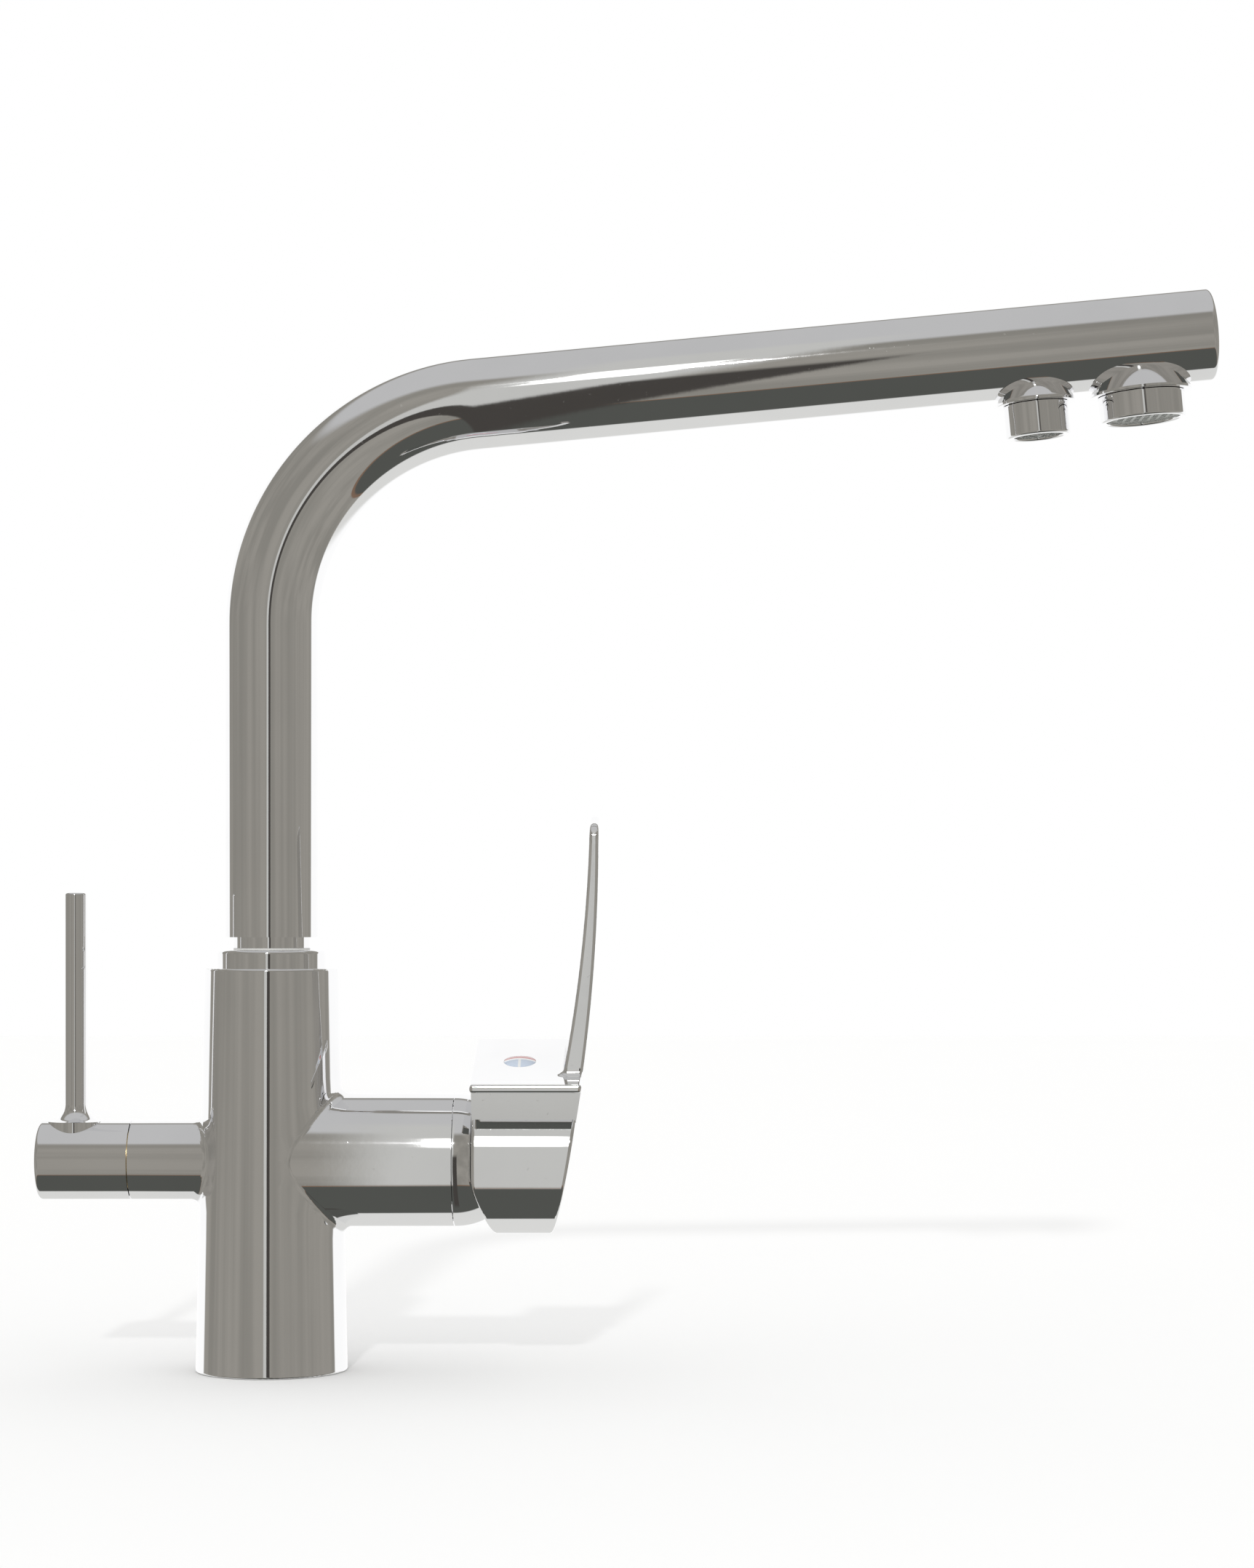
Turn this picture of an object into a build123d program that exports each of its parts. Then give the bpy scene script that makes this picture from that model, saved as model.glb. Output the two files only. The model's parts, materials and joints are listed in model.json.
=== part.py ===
"""Kitchen mixer tap with a second, separate way for filtered drinking water.

Millimetres. +Z is up, +X points along the mixer arm and, at rest, along the spout,
and the user stands on the -Y side. The origin is the centre of the body's underside.
"""

import os
from math import cos, radians, sin, sqrt, tan

from build123d import *

os.makedirs("parts", exist_ok=True)

# Fits and allowances
running_gap = 0.07
seam_gap = 0.3
press_gap = 0.04
cut_overrun = 2.0

# Body: a slightly tapered column with one thick and one thin side arm
body_height = 121.5
base_radius = 22.85
body_top_radius = 20.2
body_edge_round = 0.8
base_edge_round = 0.5
arm_height = 63.5
mixer_arm_radius = 20.15
mixer_arm_reach = 55.5
filter_arm_radius = 11.95
filter_arm_reach = 42.0
arm_root_round = 2.6

# Underside: three hose sockets around one fixing stud, and a sealing groove
stud_thread_radius = 3.4
stud_hole_depth = 14.0
hose_thread_radius = 4.5
hose_socket_depth = 12.0
hose_circle_radius = 10.0
hose_angle = 60.0
gasket_outer_radius = 20.6
gasket_width = 2.6
gasket_height = 1.8

# Waterways inside the body
supply_bore_radius = 3.0
filter_bore_radius = 2.2
mixed_bore_radius = 2.8
inlet_port_drop = 4.0
mixed_port_rise = 9.0
mixed_riser_offset = 8.4
valve_outlet_rise = 6.1
valve_outlet_radius = 1.9

# Spout pivot in the top of the body
pivot_bore_radius = 10.4
pivot_chamber_floor = 84.0
collar_radius = 16.35
collar_height = 5.5
collar_round = 1.1
collar_thread_radius = 13.4
collar_thread_depth = 9.7
slip_ring_height = 0.6
neck_radius = 11.5
neck_height = 3.3
retaining_ring_height = 1.5
retaining_ring_radius = 12.9
retaining_groove_radius = 9.1
insert_bottom = 96.5
insert_bore_radius = 7.5
insert_plug_height = 13.0
insert_hub_radius = 5.2
insert_rib_width = 1.6
insert_rib_height = 8.0
pivot_seal_radius = 0.85
pivot_seal_heights = (100.5, 107.5)
seal_groove_slack = 0.15

# Fixed centre spigot that hands the filtered water to the turning spout
spigot_radius = 3.5
spigot_bore_radius = 1.8
spigot_thread_radius = 5.0
spigot_thread_depth = 8.0
spigot_flange_height = 1.5
spigot_flange_radius = 5.6
spigot_top = 110.5
spigot_seal_radius = 0.38
spigot_seal_height = 106.0

# Spout: a bent tube that rises a little towards its closed end
tube_radius = 14.0
tube_wall = 1.2
spout_corner_height = 286.6
spout_rise = 5.4
spout_bend_radius = 68.0
spout_leg = 286.0
end_cap_thickness = 2.6
end_cap_round = 1.7
end_cap_spigot = 4.0

# Outlets under the spout, measured from the spout's corner and below its centreline
mixed_outlet_place = 262.8
filter_outlet_place = 230.8
outlet_flange_depth = 15.4
outlet_flange_thickness = 0.8
outlet_flare_top = 8.0
mixed_flange_radius = 15.5
mixed_boss_radius = 10.2
mixed_ring_radius = 13.1
mixed_ring_height = 7.8
mixed_nipple_radius = 11.0
mixed_nipple_bore = 9.2
mixed_nipple_length = 4.4
filter_flange_radius = 12.0
filter_boss_radius = 7.6
filter_ring_radius = 9.85
filter_ring_height = 9.8
filter_nipple_radius = 7.4
filter_nipple_bore = 5.6
filter_nipple_length = 5.4
outlet_ring_round = 0.7
outlet_washer_height = 0.8
outlet_insert_height = 1.6
outlet_bar_width = 0.9
outlet_bar_spacing = 2.6

# Quarter inch tube for the filtered water inside the spout
inner_tube_radius = 3.175
inner_tube_bore = 2.15
inner_tube_bottom = 112.5
inner_elbow_radius = 9.0
inner_tube_seat_depth = 14.6

# Mixer cartridge, size 35, in the thick arm
lift_pivot_reach = 56.0
cartridge_floor = 28.0
cartridge_radius = 17.4
cartridge_pocket_gap = 0.2
cartridge_base_height = 4.7
cartridge_wall = 2.2
cartridge_top = 52.0
cartridge_end_wall = 2.0
port_seal_radius = 4.2
port_seal_height = 1.3
fixed_disc_radius = 14.6
fixed_disc_height = 4.0
moving_disc_radius = 11.0
moving_disc_height = 3.4
mixing_pocket_height_share = 0.5
mixing_pocket_width_share = 0.68
carrier_radius = 10.4
carrier_height = 6.0
disc_gap = 0.05
rotor_flange_height = 2.8
rotor_neck_radius = 10.1
rotor_neck_end = 60.0
rotor_slot_half_length = 6.9
stem_width = 8.0
stem_eye_radius = 4.6
stem_end = 86.0
stem_arm_length = 12.0
stem_arm_radius = 2.6
stem_ball_radius = 3.2
stem_arm_tilt = 12.0
ball_gap = 0.35
pin_radius = 1.25
nut_thread_radius = 18.6
nut_bore_radius = 12.0
nut_collar_radius = 17.0
nut_collar_end = 59.5
nut_slot_width = 4.0
nut_slot_depth = 2.5

# Spherical cover over the cartridge nut, centred on the lever's pivot
cover_wall = 1.45
cover_mouth_radius = 13.5
cover_skirt_end = 58.6

# Mixer handle: a round barrel with a flat deck and an upright blade, turned to the user
handle_roll = 18.0
handle_start = 61.6
handle_radius = 22.3
handle_cover_gap = 0.8
deck_height = 31.7
deck_half_width = 20.6
deck_thickness = 2.6
neck_half_width = 13.0
handle_edge_round = 1.0
relief_angle = 17.3
relief_round = 14.0
barrel_foot_reach = 84.5
blade_outer_middle_reach = 96.0
blade_outer_middle_height = 40.1
blade_outer_top_reach = 100.1
blade_inner_root_reach = 88.8
blade_inner_middle_reach = 94.3
blade_inner_middle_height = 67.1
blade_inner_top_reach = 97.3
blade_tip_height = 107.0
blade_root_half_width = 11.6
blade_tip_half_width = 8.0
blade_tip_round = 5.0
blade_root_round = 2.4
blade_edge_round = 1.0
indicator_reach = 75.6
indicator_radius = 4.75
indicator_seat_depth = 1.2
indicator_crown = 0.9
indicator_plug_radius = 2.5
indicator_plug_length = 5.0
handle_screw_radius = 2.5
handle_screw_length = 12.0
handle_screw_socket = 1.5

# Filter valve in the thin arm, and its knob
valve_seat_reach = 15.0
valve_chamber_radius = 8.2
valve_thread_radius = 8.8
valve_thread_start = 33.0
valve_nose_reach = 17.0
valve_barrel_radius = 7.0
valve_cavity_radius = 5.6
valve_cavity_end = 31.2
valve_flange_radius = 9.4
valve_flange_height = 2.5
valve_neck_radius = 5.5
valve_neck_end = 49.0
valve_window_width = 5.0
valve_window_length = 3.4
spindle_radius = 3.5
spindle_flange_height = 2.0
spindle_end = 61.0
spindle_seal_radius = 0.42
spindle_seal_reach = 39.0
spindle_clip_height = 0.9
spindle_clip_radius = 4.7
spindle_clip_depth = 0.6
valve_disc_height = 2.4
valve_seat_bore_radius = 3.4
knob_end = 70.0
knob_round = 1.2
knob_pocket_radius = 9.7
knob_pocket_end = 50.6
knob_screw_reach = 56.5
knob_screw_radius = 2.0
knob_screw_length = 6.0
rod_reach = 59.3
rod_radius = 3.4
rod_top_height = 80.8
rod_edge_round = 0.7
rod_foot_radius = 8.4
rod_foot_height = 16.6
rod_stud_radius = 2.6
rod_stud_depth = 4.6

# Places worked out from the sizes above
tube_bore_radius = tube_radius - tube_wall
collar_top = body_height + collar_height
neck_bottom = collar_top + slip_ring_height
tube_bottom = neck_bottom + neck_height
pivot_barrel_radius = pivot_bore_radius - running_gap
cartridge_bore_radius = cartridge_radius + cartridge_pocket_gap
cartridge_inner_radius = cartridge_radius - cartridge_wall
cartridge_base_bottom = cartridge_floor + seam_gap
cartridge_base_top = cartridge_base_bottom + cartridge_base_height
fixed_disc_top = cartridge_base_top + fixed_disc_height
moving_disc_bottom = fixed_disc_top + disc_gap
moving_disc_top = moving_disc_bottom + moving_disc_height
ball_reach = lift_pivot_reach - stem_arm_length * cos(radians(stem_arm_tilt))
ball_drop = stem_arm_length * sin(radians(stem_arm_tilt))
supply_port_spread = hose_circle_radius * sin(radians(hose_angle))
supply_riser_reach = hose_circle_radius * cos(radians(hose_angle))
spigot_flange_bottom = pivot_chamber_floor
spigot_bottom = pivot_chamber_floor - spigot_thread_depth

# Planes and axes that the pieces share
arm_axis = Axis((0, 0, arm_height), (1, 0, 0))
arm_side = Plane(origin=(0, 0, arm_height), x_dir=(1, 0, 0), z_dir=(0, -1, 0))
arm_end = Plane(origin=(0, 0, arm_height), x_dir=(0, 1, 0), z_dir=(1, 0, 0))
handle_side = arm_side.rotated((handle_roll, 0, 0))
handle_end = arm_end.rotated((handle_roll, 0, 0))
leg_side = Plane(
    origin=(0, 0, spout_corner_height),
    x_dir=(cos(radians(spout_rise)), 0, sin(radians(spout_rise))),
    z_dir=(0, -1, 0),
)


def face_on(plane, points):
    """A face on a plane, bounded by straight lines through the points."""
    with BuildSketch(plane) as outline:
        with BuildLine():
            Polyline(*points, close=True)
        make_face()
    return outline.sketch


def band(start, stop, inner, outer):
    """Corners of a rectangle in (reach along the axis, distance from the axis)."""
    return [(start, inner), (stop, inner), (stop, outer), (start, outer)]


def upright_band(bottom, top, inner, outer):
    """Corners of a rectangle in (distance from the axis, height)."""
    return [(inner, bottom), (outer, bottom), (outer, top), (inner, top)]


def seal_face(plane, place, wire_radius):
    """A round seal's section on a plane."""
    with BuildSketch(plane) as section:
        with Locations(place):
            Circle(wire_radius)
    return section.sketch


def disc_on(plane, radius, place=(0, 0)):
    """A round face on a plane, at a place in that plane."""
    with BuildSketch(plane) as section:
        with Locations(place):
            Circle(radius)
    return section.sketch


def bore(start, end, radius):
    """Cut a round waterway between two points out of the part being built."""
    way = Vector(*end) - Vector(*start)
    mouth = disc_on(Plane(origin=start, z_dir=way), radius)
    extrude(mouth, amount=way.length, mode=Mode.SUBTRACT)


def in_handle(edge):
    """An edge's middle as (reach, height, depth) in the handle's own frame."""
    return handle_side.to_local_coords(edge.center())


def save(name, builder):
    """Name the finished piece and write it to its own file."""
    builder.part.label = name
    export_step(builder.part, f"parts/{name}.step")


# Body casting
with BuildPart() as body_casting:
    column = [(0, 0), (base_radius, 0), (body_top_radius, body_height), (0, body_height)]
    revolve(face_on(Plane.XZ, column), axis=Axis.Z)
    rims = body_casting.edges().filter_by(GeomType.CIRCLE).sort_by(Axis.Z)
    fillet(rims[-1], radius=body_edge_round)
    fillet(rims[0], radius=base_edge_round)
    extrude(disc_on(arm_end, mixer_arm_radius), amount=mixer_arm_reach)
    extrude(disc_on(arm_end, filter_arm_radius), amount=-filter_arm_reach)
    roots = body_casting.edges().filter_by(
        lambda edge: edge.geom_type not in (GeomType.CIRCLE, GeomType.LINE)
    )
    fillet(roots, radius=arm_root_round)

    # Cartridge pocket and nut thread in the thick arm
    pocket = band(cartridge_floor, mixer_arm_reach + cut_overrun, 0, cartridge_bore_radius)
    revolve(face_on(arm_side, pocket), axis=arm_axis, mode=Mode.SUBTRACT)
    thread = band(cartridge_top - cartridge_end_wall, mixer_arm_reach + cut_overrun, 0, nut_thread_radius)
    revolve(face_on(arm_side, thread), axis=arm_axis, mode=Mode.SUBTRACT)

    # Valve pocket and valve thread in the thin arm
    chamber = band(-filter_arm_reach - cut_overrun, -valve_seat_reach, 0, valve_chamber_radius)
    revolve(face_on(arm_side, chamber), axis=arm_axis, mode=Mode.SUBTRACT)
    thread = band(-filter_arm_reach - cut_overrun, -valve_thread_start, 0, valve_thread_radius)
    revolve(face_on(arm_side, thread), axis=arm_axis, mode=Mode.SUBTRACT)

    # Spout pivot bore and collar thread in the top
    pivot = upright_band(pivot_chamber_floor, body_height + cut_overrun, 0, pivot_bore_radius)
    revolve(face_on(Plane.XZ, pivot), axis=Axis.Z, mode=Mode.SUBTRACT)
    collar_floor = body_height - collar_thread_depth
    thread = upright_band(collar_floor, body_height + cut_overrun, 0, collar_thread_radius)
    revolve(face_on(Plane.XZ, thread), axis=Axis.Z, mode=Mode.SUBTRACT)
    bore((0, 0, arm_height + valve_outlet_rise), (0, 0, spigot_bottom), filter_bore_radius)
    bore((0, 0, spigot_bottom), (0, 0, pivot_chamber_floor + cut_overrun), spigot_thread_radius)

    # Hot and cold ways from their hose sockets to the cartridge
    port_height = arm_height - inlet_port_drop
    for side in (-1, 1):
        riser = (supply_riser_reach, side * supply_port_spread)
        bore((*riser, -cut_overrun), (*riser, hose_socket_depth), hose_thread_radius)
        bore((*riser, 0), (*riser, port_height + supply_bore_radius), supply_bore_radius)
        bore((*riser, port_height), (cartridge_floor + cut_overrun, riser[1], port_height), supply_bore_radius)

    # Mixed water from the cartridge up to the spout pivot
    mixed_height = arm_height + mixed_port_rise
    mixed_turn = (mixed_riser_offset, 0, mixed_height - mixed_bore_radius)
    bore(mixed_turn, (mixed_riser_offset, 0, pivot_chamber_floor + cut_overrun), mixed_bore_radius)
    mixed_port = (cartridge_floor + cut_overrun, 0, mixed_height)
    bore((mixed_riser_offset, 0, mixed_height), mixed_port, mixed_bore_radius)

    # Filtered water from its hose socket to the valve, and on to the centre spigot
    filter_riser = (-hose_circle_radius, 0)
    bore((*filter_riser, -cut_overrun), (*filter_riser, hose_socket_depth), hose_thread_radius)
    bore((*filter_riser, 0), (*filter_riser, arm_height + filter_bore_radius), filter_bore_radius)
    valve_inlet = (-valve_seat_reach - cut_overrun, 0, arm_height)
    bore((*filter_riser, arm_height), valve_inlet, valve_outlet_radius)
    valve_outlet_height = arm_height + valve_outlet_rise
    valve_outlet = (-valve_seat_reach - cut_overrun, 0, valve_outlet_height)
    bore((valve_outlet_radius, 0, valve_outlet_height), valve_outlet, valve_outlet_radius)

    # Fixing stud hole and gasket groove in the underside
    bore((0, 0, -cut_overrun), (0, 0, stud_hole_depth), stud_thread_radius)
    groove = upright_band(-cut_overrun, gasket_height, gasket_outer_radius - gasket_width, gasket_outer_radius)
    revolve(face_on(Plane.XZ, groove), axis=Axis.Z, mode=Mode.SUBTRACT)
save("body_casting", body_casting)

# Rubber ring between the body and the worktop
with BuildPart() as base_gasket:
    ring = upright_band(0, gasket_height, gasket_outer_radius - gasket_width, gasket_outer_radius)
    revolve(face_on(Plane.XZ, ring), axis=Axis.Z)
save("base_gasket", base_gasket)

# Chrome collar that is screwed into the body and holds the spout down
with BuildPart() as spout_collar:
    shank_bottom = body_height - collar_thread_depth + retaining_ring_height + seam_gap + seam_gap
    profile = [
        (pivot_bore_radius, shank_bottom),
        (collar_thread_radius - press_gap, shank_bottom),
        (collar_thread_radius - press_gap, body_height),
        (collar_radius, body_height),
        (collar_radius, collar_top),
        (pivot_bore_radius, collar_top),
    ]
    revolve(face_on(Plane.XZ, profile), axis=Axis.Z)
    top_edges = spout_collar.edges().filter_by(GeomType.CIRCLE).group_by(Axis.Z)[-1]
    fillet(top_edges.sort_by(SortBy.RADIUS)[-1], radius=collar_round)
save("spout_collar", spout_collar)

# Plain bearing ring between the collar and the spout's neck
with BuildPart() as slip_ring:
    ring = upright_band(collar_top, neck_bottom - press_gap, pivot_bore_radius, neck_radius)
    revolve(face_on(Plane.XZ, ring), axis=Axis.Z)
save("slip_ring", slip_ring)

# Spring ring in the insert's groove, trapped under the collar
retaining_bottom = body_height - collar_thread_depth + seam_gap
with BuildPart() as retaining_ring:
    retaining_top = retaining_bottom + retaining_ring_height
    ring = upright_band(retaining_bottom, retaining_top, retaining_groove_radius, retaining_ring_radius)
    revolve(face_on(Plane.XZ, ring), axis=Axis.Z)
    with BuildSketch(Plane.XY.offset(retaining_bottom)):
        with Locations((-retaining_ring_radius, 0)):
            Rectangle(retaining_ring_radius, insert_rib_width)
    extrude(amount=retaining_ring_height, mode=Mode.SUBTRACT)
save("retaining_ring", retaining_ring)

# Brass insert: it carries the spout, turns in the body and holds the inner tube
insert_top = tube_bottom + insert_plug_height
with BuildPart() as spout_insert:
    profile = [
        (insert_bore_radius, insert_bottom),
        (pivot_barrel_radius, insert_bottom),
        (pivot_barrel_radius, neck_bottom),
        (neck_radius, neck_bottom),
        (neck_radius, tube_bottom),
        (tube_bore_radius, tube_bottom),
        (tube_bore_radius, insert_top),
        (insert_bore_radius, insert_top),
    ]
    revolve(face_on(Plane.XZ, profile), axis=Axis.Z)
    groove = upright_band(
        retaining_bottom, retaining_bottom + retaining_ring_height, retaining_groove_radius, collar_radius
    )
    revolve(face_on(Plane.XZ, groove), axis=Axis.Z, mode=Mode.SUBTRACT)
    seal_floor = pivot_barrel_radius - 2 * pivot_seal_radius
    for height in pivot_seal_heights:
        half = pivot_seal_radius + seal_groove_slack
        groove = upright_band(height - half, height + half, seal_floor, collar_radius)
        revolve(face_on(Plane.XZ, groove), axis=Axis.Z, mode=Mode.SUBTRACT)
    # Hub for the inner tube above and the fixed spigot below, on three ribs
    hub_bottom = spigot_seal_height - insert_rib_height
    hub_top = inner_tube_bottom + insert_rib_height
    hub = upright_band(hub_bottom, hub_top, 0, insert_hub_radius)
    revolve(face_on(Plane.XZ, hub), axis=Axis.Z)
    rib_plane = Plane.XY.offset(hub_top - insert_rib_height)
    with BuildSketch(rib_plane):
        with PolarLocations(insert_hub_radius, 3):
            Rectangle(insert_rib_width + insert_hub_radius, insert_rib_width)
    extrude(amount=insert_rib_height)
    socket = upright_band(hub_bottom - cut_overrun, inner_tube_bottom, 0, spigot_radius + running_gap)
    revolve(face_on(Plane.XZ, socket), axis=Axis.Z, mode=Mode.SUBTRACT)
    socket = upright_band(inner_tube_bottom - cut_overrun, hub_top + cut_overrun, 0, inner_tube_radius)
    revolve(face_on(Plane.XZ, socket), axis=Axis.Z, mode=Mode.SUBTRACT)
save("spout_insert", spout_insert)

# Two round seals on the insert
with BuildPart() as pivot_seals:
    for height in pivot_seal_heights:
        place = (pivot_barrel_radius - pivot_seal_radius, height)
        revolve(seal_face(Plane.XZ, place, pivot_seal_radius), axis=Axis.Z)
save("pivot_seals", pivot_seals)

# Fixed brass spigot for the filtered water
with BuildPart() as centre_spigot:
    flange_top = spigot_flange_bottom + spigot_flange_height
    profile = [
        (spigot_bore_radius, spigot_bottom),
        (spigot_thread_radius, spigot_bottom),
        (spigot_thread_radius, spigot_flange_bottom),
        (spigot_flange_radius, spigot_flange_bottom),
        (spigot_flange_radius, flange_top),
        (spigot_radius, flange_top),
        (spigot_radius, spigot_top),
        (spigot_bore_radius, spigot_top),
    ]
    revolve(face_on(Plane.XZ, profile), axis=Axis.Z)
    half = spigot_seal_radius + seal_groove_slack
    floor = spigot_radius - 2 * spigot_seal_radius
    groove = upright_band(spigot_seal_height - half, spigot_seal_height + half, floor, spigot_flange_radius)
    revolve(face_on(Plane.XZ, groove), axis=Axis.Z, mode=Mode.SUBTRACT)
save("centre_spigot", centre_spigot)

with BuildPart() as spigot_seal:
    place = (spigot_radius - spigot_seal_radius, spigot_seal_height)
    revolve(seal_face(Plane.XZ, place, spigot_seal_radius), axis=Axis.Z)
save("spigot_seal", spigot_seal)

# Outlet bosses under the spout, each with a flared flange and a threaded nipple
flange_top = -outlet_flange_depth
flange_bottom = flange_top - outlet_flange_thickness
outlets = (
    (mixed_outlet_place, mixed_boss_radius, mixed_flange_radius, mixed_nipple_radius, mixed_nipple_length),
    (filter_outlet_place, filter_boss_radius, filter_flange_radius, filter_nipple_radius, filter_nipple_length),
)
with BuildPart() as outlet_bosses:
    for place, boss, flange, nipple, length in outlets:
        with BuildSketch(leg_side) as section:
            with BuildLine():
                rim = (place + flange, flange_top)
                neck = (place + boss, -outlet_flare_top)
                RadiusArc(neck, rim, (flange - boss) + outlet_flange_depth)
                Polyline(
                    rim,
                    (place + flange, flange_bottom),
                    (place + nipple, flange_bottom),
                    (place + nipple, flange_bottom - length),
                    (place, flange_bottom - length),
                    (place, 0),
                    (place + boss, 0),
                    neck,
                )
            make_face()
        revolve(section.sketch, axis=Axis(leg_side.from_local_coords((place, 0, 0)), leg_side.y_dir))
    # The bosses start in the middle of the tube's wall
    leg_end_plane = Plane(origin=leg_side.origin, z_dir=leg_side.x_dir)
    extrude(disc_on(leg_end_plane, tube_radius - tube_wall / 2), amount=spout_leg, mode=Mode.SUBTRACT)

# Bent spout tube with both outlet bosses
with BuildPart() as spout_tube:
    leg_end = spout_leg - end_cap_thickness
    with BuildLine(Plane.XZ) as route:
        corner = (0, spout_corner_height)
        tip = (leg_end * cos(radians(spout_rise)), spout_corner_height + leg_end * sin(radians(spout_rise)))
        FilletPolyline((0, tube_bottom), corner, tip, radius=spout_bend_radius)
    with BuildSketch(Plane.XY.offset(tube_bottom)):
        Circle(tube_radius)
        Circle(tube_bore_radius, mode=Mode.SUBTRACT)
    sweep(path=route.wire())
    add(outlet_bosses.part)
    bores = (
        (mixed_outlet_place, mixed_nipple_bore, mixed_nipple_length),
        (filter_outlet_place, inner_tube_radius, filter_nipple_length),
    )
    for place, radius, length in bores:
        top = leg_side.from_local_coords((place, 0, 0))
        bottom = leg_side.from_local_coords((place, flange_bottom - length - cut_overrun, 0))
        bore(tuple(top), tuple(bottom), radius)
    top = leg_side.from_local_coords((filter_outlet_place, -inner_tube_seat_depth, 0))
    bottom = leg_side.from_local_coords((filter_outlet_place, flange_bottom - filter_nipple_length - cut_overrun, 0))
    bore(tuple(top), tuple(bottom), filter_nipple_bore)
save("spout_tube", spout_tube)

# Flat closed end of the spout
with BuildPart() as spout_end_cap:
    profile = [
        (leg_end - end_cap_spigot, 0),
        (leg_end - end_cap_spigot, tube_bore_radius - press_gap),
        (leg_end, tube_bore_radius - press_gap),
        (leg_end, tube_radius),
        (spout_leg, tube_radius),
        (spout_leg, 0),
    ]
    leg_axis = Axis(leg_side.origin, leg_side.x_dir)
    revolve(face_on(leg_side, profile), axis=leg_axis)
    fillet(spout_end_cap.edges().filter_by(GeomType.CIRCLE).sort_by(leg_axis)[-1], radius=end_cap_round)
save("spout_end_cap", spout_end_cap)

# Each outlet: a chrome ring on the nipple, a rubber washer and a plastic insert
outlet_sizes = {
    "mixed": (mixed_outlet_place, mixed_ring_radius, mixed_nipple_radius, mixed_nipple_bore,
              mixed_nipple_length, mixed_ring_height),
    "filter": (filter_outlet_place, filter_ring_radius, filter_nipple_radius, filter_nipple_bore,
               filter_nipple_length, filter_ring_height),
}
for outlet, (place, ring_radius, nipple, nipple_bore, length, height) in outlet_sizes.items():
    outlet_axis = Axis(leg_side.from_local_coords((place, 0, 0)), leg_side.y_dir)
    nipple_end = flange_bottom - length
    washer_end = nipple_end - outlet_washer_height
    insert_end = washer_end - outlet_insert_height

    with BuildPart() as outlet_ring:
        ring_top = flange_bottom - seam_gap / 2
        section = [
            (place + nipple + running_gap, ring_top),
            (place + ring_radius, ring_top),
            (place + ring_radius, ring_top - height),
            (place + nipple + running_gap, ring_top - height),
        ]
        revolve(face_on(leg_side, section), axis=outlet_axis)
        mouth = outlet_ring.edges().filter_by(GeomType.CIRCLE).sort_by(outlet_axis)[:2]
        fillet(mouth, radius=outlet_ring_round)
    save(f"{outlet}_outlet_ring", outlet_ring)

    with BuildPart() as outlet_washer:
        section = [
            (place + nipple_bore, nipple_end),
            (place + nipple, nipple_end),
            (place + nipple, washer_end),
            (place + nipple_bore, washer_end),
        ]
        revolve(face_on(leg_side, section), axis=outlet_axis)
    save(f"{outlet}_outlet_washer", outlet_washer)

    with BuildPart() as outlet_insert:
        centre = leg_side.from_local_coords((place, insert_end, 0))
        insert_plane = Plane(origin=centre, x_dir=leg_side.x_dir, z_dir=leg_side.y_dir)
        with BuildSketch(insert_plane):
            Circle(nipple)
            Circle(nipple_bore, mode=Mode.SUBTRACT)
        extrude(amount=outlet_insert_height)
        bars = 2 * int(nipple_bore / outlet_bar_spacing) + 1
        with BuildSketch(insert_plane):
            with GridLocations(outlet_bar_spacing, 0, bars, 1):
                Rectangle(outlet_bar_width, 2 * nipple)
            with GridLocations(0, outlet_bar_spacing, 1, bars):
                Rectangle(2 * nipple, outlet_bar_width)
            Circle(nipple_bore, mode=Mode.INTERSECT)
        extrude(amount=outlet_insert_height)
    save(f"{outlet}_outlet_insert", outlet_insert)

# Quarter inch tube that keeps the filtered water apart inside the spout
with BuildPart() as filtered_water_tube:
    elbow_turn = leg_side.from_local_coords((filter_outlet_place, 0, 0))
    elbow_end = leg_side.from_local_coords((filter_outlet_place, -inner_tube_seat_depth, 0))
    with BuildLine(Plane.XZ) as inner_route:
        FilletPolyline(
            (0, inner_tube_bottom),
            corner,
            (elbow_turn.X, elbow_turn.Z),
            (elbow_end.X, elbow_end.Z),
            radius=[spout_bend_radius, inner_elbow_radius],
        )
    with BuildSketch(Plane.XY.offset(inner_tube_bottom)):
        Circle(inner_tube_radius)
        Circle(inner_tube_bore, mode=Mode.SUBTRACT)
    sweep(path=inner_route.wire())
save("filtered_water_tube", filtered_water_tube)

# Mixer cartridge, from the floor of the pocket outwards
inlet_ports = [(-supply_port_spread, -inlet_port_drop), (supply_port_spread, -inlet_port_drop)]
ports = [*inlet_ports, (0, mixed_port_rise)]
with BuildPart() as port_seals:
    with BuildSketch(arm_end.offset(cartridge_floor)):
        with Locations(*ports):
            Circle(port_seal_radius)
            Circle(supply_bore_radius, mode=Mode.SUBTRACT)
    extrude(amount=port_seal_height)
save("port_seals", port_seals)

with BuildPart() as cartridge_base:
    extrude(disc_on(arm_end.offset(cartridge_base_bottom), cartridge_radius), amount=cartridge_base_height)
    with BuildSketch(arm_end.offset(cartridge_base_bottom)):
        with Locations(*ports):
            Circle(supply_bore_radius)
    extrude(amount=cartridge_base_height, mode=Mode.SUBTRACT)
    with BuildSketch(arm_end.offset(cartridge_base_bottom)):
        with Locations(*ports):
            Circle(port_seal_radius + running_gap)
    extrude(amount=port_seal_height - seam_gap, mode=Mode.SUBTRACT)
save("cartridge_base", cartridge_base)

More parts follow.
